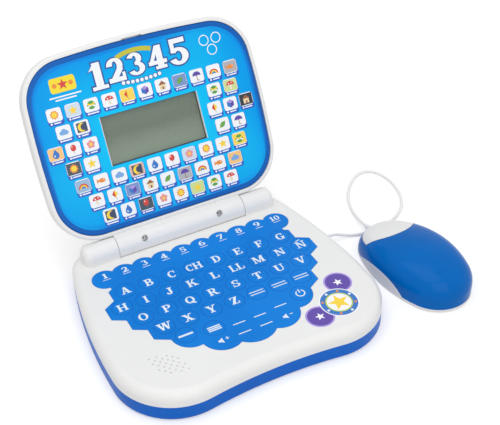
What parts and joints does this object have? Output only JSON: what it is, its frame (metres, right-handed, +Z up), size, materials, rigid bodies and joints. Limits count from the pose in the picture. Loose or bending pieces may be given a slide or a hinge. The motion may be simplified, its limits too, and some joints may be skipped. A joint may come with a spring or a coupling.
{
  "type": "toy laptop computer",
  "caption": "Child's toy laptop with a hinged lid around a small display, a flat printed keypad of hexagonal cells, and a corded one-button mouse.",
  "frame": {"origin": "centre of the laptop's underside, on the desk", "axes": "+Z up, +Y from the front edge to the lid's hinge, +X to the side where the mouse lies"},
  "size_m": [0.2968, 0.2348, 0.1587],
  "materials": {
    "white_plastic": "satin",
    "blue_plastic": "gloss",
    "panel_plastic": "gloss",
    "keypad_film": "satin",
    "lid_print": "gloss",
    "sticker_film": "gloss",
    "contact_film": "satin",
    "circuit_board": "satin",
    "chip_resin": "satin",
    "socket_plastic": "satin",
    "screw_steel": "zinc plated",
    "pin_steel": "bright",
    "cell_jacket": "gloss",
    "contact_metal": "nickel plated",
    "speaker_steel": "satin",
    "speaker_paper": "matt paper",
    "ferrite": "matt",
    "clear_window": "clear",
    "display_cell": "matt polariser",
    "reflector_foil": "matt",
    "contact_rubber": "matt",
    "switch_plastic": "satin",
    "glide_plastic": "smooth",
    "cord_vinyl": "satin"
  },
  "bodies": {
    "base": {"lower_shell": "blue_plastic", "upper_shell": "white_plastic", "battery_door": "blue_plastic", "battery_door_screw": "screw_steel", "battery_cell_1": "cell_jacket", "battery_cell_2": "cell_jacket", "battery_cell_3": "cell_jacket", "battery_positive_contacts": "contact_metal", "battery_negative_contacts": "contact_metal", "keypad_overlay": "keypad_film", "keypad_membrane": "contact_film", "keypad_socket": "socket_plastic", "main_board": "circuit_board", "main_board_screws": "screw_steel", "sound_chip": "chip_resin", "speaker_basket": "speaker_steel", "speaker_cone": "speaker_paper", "speaker_magnet": "ferrite", "hinge_pin_left": "pin_steel", "hinge_pin_right": "pin_steel", "case_screws": "screw_steel", "cord_relief": "cord_vinyl", "sticker": "sticker_film", "mouse_cord": "cord_vinyl"},
    "lid": {"lid_front_frame": "white_plastic", "lid_back_shell": "white_plastic", "lid_screws": "screw_steel", "hinge_screws": "screw_steel", "lid_panel": "panel_plastic", "lid_graphic_sheet": "lid_print", "display_window": "clear_window", "display_glass": "display_cell", "display_reflector": "reflector_foil", "display_contact_strip": "contact_rubber", "display_board": "circuit_board", "display_board_screws": "screw_steel"},
    "mouse": {"mouse_base": "white_plastic", "mouse_cover": "blue_plastic", "mouse_board": "circuit_board", "mouse_switch": "switch_plastic", "mouse_screw": "screw_steel", "mouse_glides": "glide_plastic", "mouse_cord_relief": "cord_vinyl"},
    "button": {"mouse_button": "white_plastic", "switch_plunger": "switch_plastic"}
  },
  "joints": [
    {"name": "lid_hinge", "type": "hinge", "parent": "base", "child": "lid", "pos_m": [0, 0.0715, 0.027], "axis": [1, 0, 0], "range_deg": [-11.5, 118.5]},
    {"name": "mouse_slide", "type": "slide", "parent": "base", "child": "mouse", "axis": [-0.0958, 0.9954, 0], "range_m": [-0.04, 0], "deforming": ["mouse_cord"]},
    {"name": "button_press", "type": "slide", "parent": "mouse", "child": "button", "axis": [0, 0, -1], "range_m": [0, 0.0006], "stiffness_N_per_m": 2500}
  ]
}
